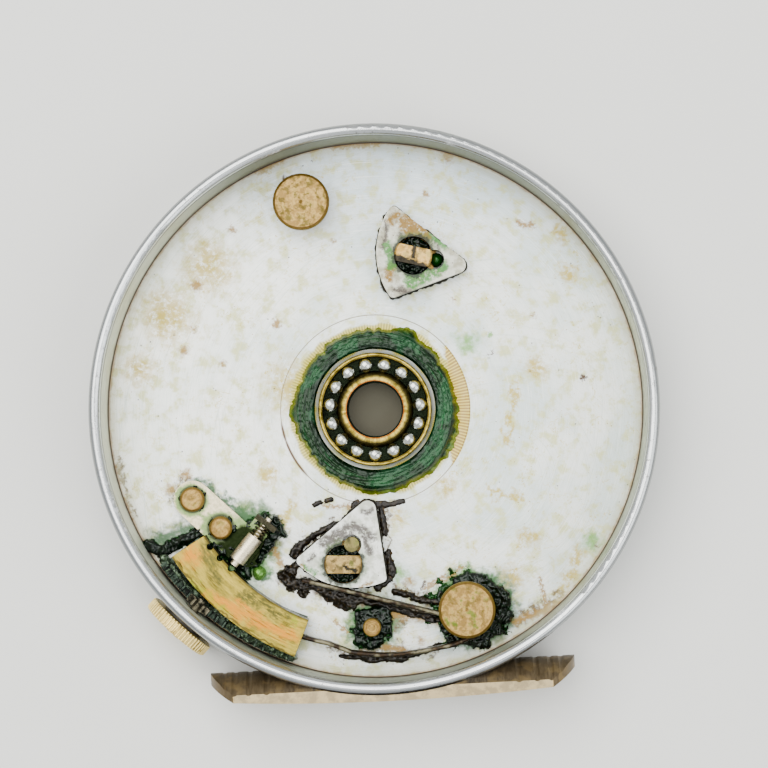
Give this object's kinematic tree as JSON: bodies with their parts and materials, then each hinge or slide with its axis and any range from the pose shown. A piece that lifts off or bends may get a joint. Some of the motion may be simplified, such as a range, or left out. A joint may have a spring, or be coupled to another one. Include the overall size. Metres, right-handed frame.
{
  "type": "fly reel frame",
  "caption": "Fly reel frame with caged ball bearing, sprung check pawl, spare pawl, knurled regulator and ribbed saddle foot; drum removed.",
  "frame": {"origin": "spindle axis, in the plane of the plate's inner floor, where the spindle bore's wall passes", "axes": "+Z along the spindle axis, out of the open side of the cup; -Y towards the foot; +X along the foot's length"},
  "size_m": [0.1016, 0.1027, 0.016],
  "materials": {
    "alloy": "turned, dulled and stained",
    "bearing_brass": "turned and tarnished",
    "ball_steel": "polished",
    "blackened_steel": "blackened and greasy",
    "brass": "turned and tarnished",
    "slide_brass": "worn, with grease stains",
    "pawl_steel": "dull with dark scuffs",
    "spring_steel": "browned",
    "nickel_silver": "satin",
    "fibre": "matte",
    "foot_bronze": "dark patina with bright edges"
  },
  "bodies": {
    "frame": {"back_frame": "alloy", "bearing_outer_race": "bearing_brass", "spring_post": "brass", "spare_spring_post": "brass", "pawl_stud": "brass", "spare_pawl_stud": "brass", "pawl_limit_pin": "brass", "stop_pin": "brass", "slide_guide_pins": "brass", "check_spring": "spring_steel", "detent_bracket": "nickel_silver", "bracket_rivets": "brass", "detent_spring": "spring_steel", "rim_bush": "brass", "knob_washer": "fibre", "foot": "foot_bronze", "foot_rivets": "brass"},
    "inner_race": {"bearing_inner_race": "bearing_brass"},
    "ball_cage": {"bearing_balls": "ball_steel", "bearing_cage": "blackened_steel"},
    "working_pawl": {"check_pawl": "pawl_steel"},
    "stored_pawl": {"spare_pawl": "pawl_steel"},
    "knob": {"regulator_knob": "nickel_silver", "regulator_shaft": "blackened_steel", "regulator_pinion": "blackened_steel", "knob_screw": "nickel_silver"},
    "slide": {"regulator_slide": "slide_brass", "regulator_rack": "blackened_steel", "slide_rivets": "brass"},
    "plunger": {"detent_plunger": "nickel_silver"}
  },
  "joints": [
    {"name": "race_spin", "type": "hinge", "parent": "frame", "child": "inner_race", "pos_m": [0, 0, 0], "axis": [0, 0, 1], "continuous": true},
    {"name": "cage_spin", "type": "hinge", "parent": "frame", "child": "ball_cage", "pos_m": [0, 0, 0], "axis": [0, 0, 1], "continuous": true},
    {"name": "pawl_rock", "type": "hinge", "parent": "frame", "child": "working_pawl", "pos_m": [-0.00714, -0.02766, 0], "axis": [0, 0, 1], "range_deg": [-6, 6], "stiffness_Nm_per_rad": 0.15, "deforming": ["check_spring"]},
    {"name": "spare_pawl_turn", "type": "hinge", "parent": "frame", "child": "stored_pawl", "pos_m": [0.00839, 0.02738, 0], "axis": [0, 0, 1], "continuous": true},
    {"name": "regulator_turn", "type": "hinge", "parent": "frame", "child": "knob", "pos_m": [0, 0, 0.0052], "axis": [-0.7071, -0.7071, 0], "range_deg": [0, 205.7]},
    {"name": "slide_travel", "type": "hinge", "parent": "frame", "child": "slide", "pos_m": [0, 0, 0], "axis": [0, 0, 1], "range_deg": [0, 8]},
    {"name": "detent_press", "type": "slide", "parent": "frame", "child": "plunger", "axis": [-0.6561, -0.7547, 0], "range_m": [-0.0008, 0], "stiffness_N_per_m": 400, "deforming": ["detent_spring"]}
  ],
  "couplings": [
    {"joint": "cage_spin", "follows": "race_spin", "ratio": 0.4152},
    {"joint": "slide_travel", "follows": "regulator_turn", "ratio": 0.038889}
  ]
}
